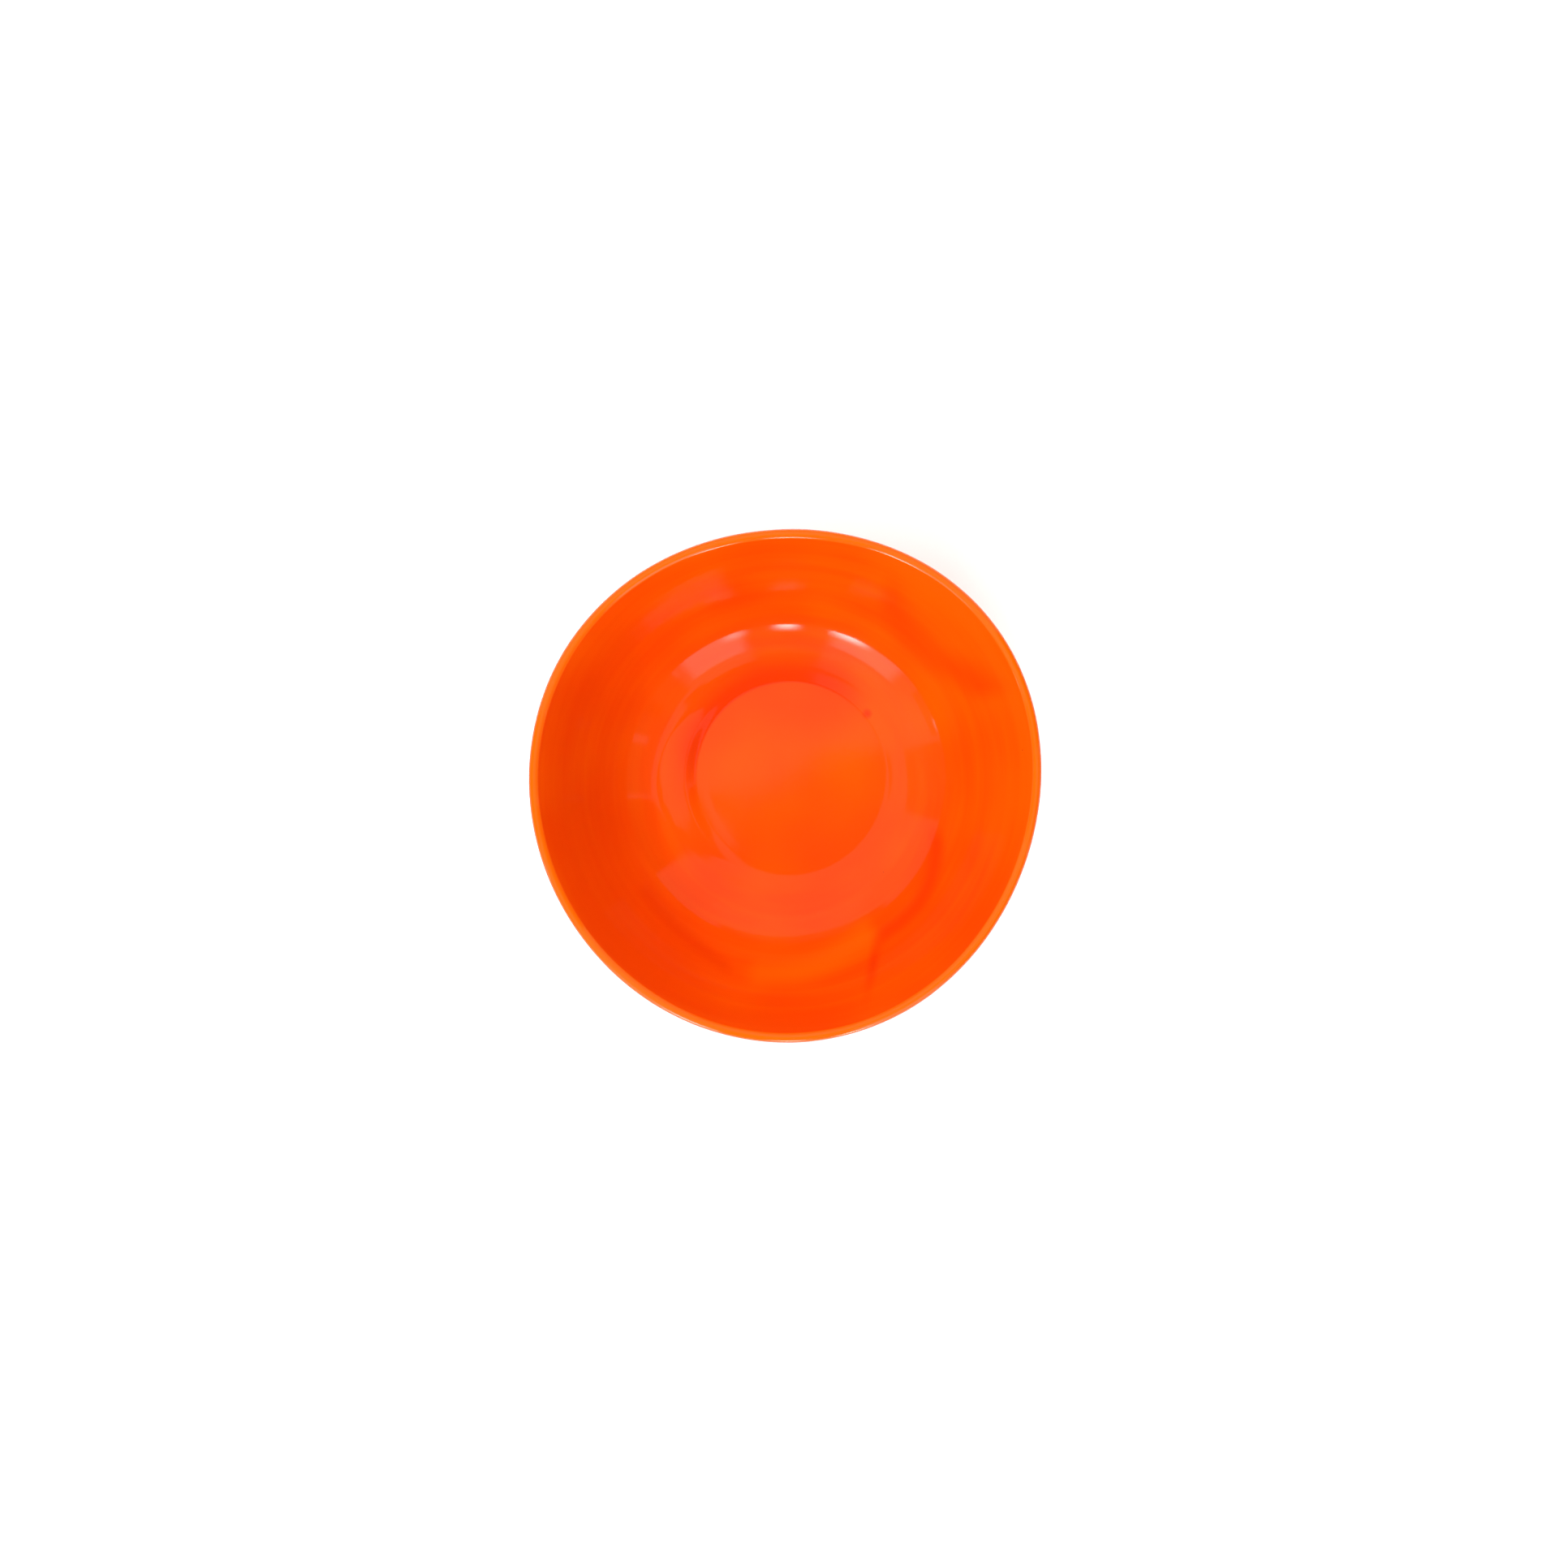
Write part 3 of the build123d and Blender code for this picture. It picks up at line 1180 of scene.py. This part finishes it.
@dataclass(frozen=True)
class Canopy:
    """A level sheet above the bowl, seen only by the gloss."""

    name: str
    middle: tuple[float, float, float]
    size: Pair  # its width and its length
    turn: float = 0.0  # degrees
    radiance: float = 0.0
    soft: float = 0.0  # share of the half-width over which it fades

    def build(self, target: Vector) -> bpy.types.Object:
        """Hang the sheet level in its place and return it."""
        return hang(self, Vector(self.middle), self.size, (0, 0, math.radians(self.turn)))


def hang(
    sheet: Sheet | Canopy, middle: Vector, size: Pair, turned: tuple[float, float, float]
) -> bpy.types.Object:
    """Make a sheet of the studio, and hide it from all but the gloss.

    Args:
        sheet: Its name and glow.
        middle: Its centre.
        size: Its width and height.
        turned: Its rotation.

    Returns:
        The sheet.
    """
    deselect_all()
    bpy.ops.mesh.primitive_plane_add(size=1, location=middle, rotation=turned)
    made = bpy.context.object
    made.name = made.data.name = sheet.name
    made.scale = (*size, 1)
    made.data.materials.append(Glow(sheet.name, sheet.radiance, sheet.soft).make())
    for ray in ("camera", "diffuse", "transmission", "volume_scatter", "shadow"):
        setattr(made, f"visible_{ray}", False)
    return made


@dataclass(frozen=True)
class SoftBox:
    """A square lamp of soft light, which lights the bowl and the paper but isn't mirrored."""

    name: str
    bearing: float  # degrees from +X
    elevation: float  # degrees above the table
    distance: float
    side: float  # of its square
    radiance: float

    def build(self, target: Vector) -> bpy.types.Object:
        """Hang the lamp and turn it to the bowl.

        Args:
            target: What it lights.

        Returns:
            The light.
        """
        data = bpy.data.lights.new(self.name, "AREA")
        data.size = self.side
        data.energy = self.radiance * math.pi * self.side**2
        lamp = bpy.data.objects.new(self.name, data)
        bpy.context.scene.collection.objects.link(lamp)
        rise, turn = math.radians(self.elevation), math.radians(self.bearing)
        flat = math.cos(rise)
        away = Vector((flat * math.cos(turn), flat * math.sin(turn), math.sin(rise)))
        lamp.location = target + away * self.distance
        lamp.rotation_euler = away.to_track_quat("Z", "Y").to_euler()
        lamp.visible_camera = False
        lamp.visible_glossy = False
        return lamp


@dataclass
class Studio:
    """White paper, a pale room, soft light from above, and a camera straight above the bowl."""

    form: BowlForm
    room: float = 0.33  # radiance of the pale room
    floor_size: float = 2.5
    floor_sides: int = 96
    camera_rise: float = 0.600  # from the lip to the camera
    framed_width: float = 486.6 * MM  # width of the view at the height of the lip
    sensor: float = 36.0  # millimetres
    aside: Point = (-0.4 * MM, 0.6 * MM)  # of the camera from the middle of the bowl
    lamps: tuple[SoftBox, ...] = (
        SoftBox("overhead_soft_box", 225, 84, 1.6, 2.0, 1.5),
        SoftBox("south_soft_box", 262, 38, 1.7, 1.4, 4.8),
        SoftBox("west_soft_box", 190, 38, 1.7, 1.4, 1.8),
        SoftBox("north_soft_box", 92, 38, 1.7, 1.4, 4.0),
    )
    # Each sheet's name, sides, foot and top, distance, radiance and softness.
    sheets: tuple[Sheet | Canopy, ...] = (
        Sheet("left_window", (222, 254), (6, 44), 2.2, 1.6, 0.35),
        Sheet("left_window_sun", (237, 257), (0, 27), 2.1, 18.0, 1.0),
        Sheet("right_window", (285, 312), (6, 54), 2.2, 1.5, 0.3),
        Sheet("right_window_sun", (280, 292), (1, 15), 1.5, 30.0, 1.0),
        Sheet("right_window_sky", (283, 296), (8, 29), 1.5, 5.0, 1.0),
        Sheet("far_window", (313, 318), (12, 34), 2.2, 1.2, 0.8),
        Sheet("small_lamp", (197, 205), (6, 20), 1.5, 4.0, 1.0),
        Sheet("person", (254, 285), (10, 83), 1.6, 0.01),
        Sheet("gap_beside_person", (264, 277), (0, 28), 1.5, 16.0, 1.0),
        Sheet("dark_doorway", (6, 35), (5, 82), 1.6, 0.01),
        Sheet("low_shelf", (63, 131), (5, 27), 1.9, 0.03, 0.15),
        Sheet("tall_curtain", (164, 196), (5, 76), 1.7, 0.03, 0.15),
        Sheet("low_curtain", (196, 216), (5, 28), 1.7, 0.1, 0.2),
        Sheet("grey_cupboard", (313, 366), (5, 62), 1.7, 0.06, 0.12),
        Sheet("cupboard_gap", (327, 335), (5, 47), 1.6, 0.02, 0.6),
        Sheet("cupboard_door", (342, 346), (5, 44), 1.6, 0.4, 0.5),
        Canopy("leaning_head", (0.047, -0.099, 0.70), (0.165, 0.24), 17, 0.0, 0.14),
        Canopy("reaching_arm", (0.11, -0.12, 0.69), (0.30, 0.06), -42, 0.0, 0.2),
    )

    def build(self) -> None:
        """Set the stage, light it and place the camera."""
        self.lay_floor()
        self.light_room()
        target = Vector((0, 0, self.form.height))
        for item in self.lamps + self.sheets:
            item.build(target)
            LOG.info("studio: %s", item.name)
        self.place_camera()
        bpy.context.scene.view_settings.view_transform = "Standard"

    def lay_floor(self) -> None:
        """Lay the paper that the bowl stands on, and a pale backdrop far behind it."""
        deselect_all()
        bpy.ops.mesh.primitive_circle_add(
            vertices=self.floor_sides,
            radius=self.floor_size / 2,
            fill_type="NGON",
            location=(0, 0, 0),
        )
        floor = bpy.context.object
        floor.name = floor.data.name = "paper_floor"
        floor.data.materials.append(PaleFloor().make())
        bpy.ops.mesh.primitive_cylinder_add(
            vertices=self.floor_sides,
            radius=self.floor_size / 2,
            depth=self.floor_size,
            end_fill_type="NGON",
        )
        backdrop = bpy.context.object
        backdrop.name = backdrop.data.name = "paper_backdrop"
        backdrop.data.materials.append(Glow("lit_paper", 1.0).make())
        for ray in ("glossy", "diffuse", "transmission", "volume_scatter", "shadow"):
            setattr(backdrop, f"visible_{ray}", False)

    def light_room(self) -> None:
        """Fill the room with pale even light."""
        world = bpy.data.worlds.new("pale_room")
        world.use_nodes = True
        background = world.node_tree.nodes["Background"]
        background.inputs["Color"].default_value = (1, 1, 1, 1)
        background.inputs["Strength"].default_value = self.room
        bpy.context.scene.world = world

    def place_camera(self) -> None:
        """Hang the camera over the middle of the bowl, looking straight down."""
        low, high = CAD_BOX
        data = bpy.data.cameras.new("overhead_camera")
        data.sensor_width = self.sensor
        data.lens = self.sensor * self.camera_rise / self.framed_width
        camera = bpy.data.objects.new("overhead_camera", data)
        bpy.context.scene.collection.objects.link(camera)
        middle = (Vector(low) + Vector(high)) / 2
        across, up = self.aside
        rise = self.form.height + self.camera_rise
        camera.location = (middle.x + across, middle.y + up, rise)
        bpy.context.scene.camera = camera


def dress_clay_body(finish: bpy.types.Material) -> bpy.types.Object:
    """Give the CAD's clay body its finish.

    Args:
        finish: The clay.

    Returns:
        The CAD node.
    """
    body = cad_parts["clay_body"]
    for place in body.material_slots:
        place.material = finish
    return body


def main() -> None:
    """Build the bowl, then the studio around it."""
    logging.basicConfig(level=logging.INFO, format="%(name)s: %(message)s")
    form = BowlForm()
    hand = PottersHand(form)
    glaze = OrangeGlaze(
        form.height, form.well_radius, form.well_height, hand.rib_middle, hand.rib_radius
    ).make()
    clay = FiredClay().make()
    wheel = Wheel()
    pieces = [
        dress_clay_body(clay),
        GlazeCoat(form, hand, wheel, glaze).build(),
        BasePatch(form, hand, wheel, glaze).build(),
        FootRing(form, wheel, clay).build(),
    ]
    for piece in pieces:
        LOG.info("%s: %d faces", piece.name, len(piece.data.polygons))
    Studio(form).build()


if __name__ == "__main__":
    main()
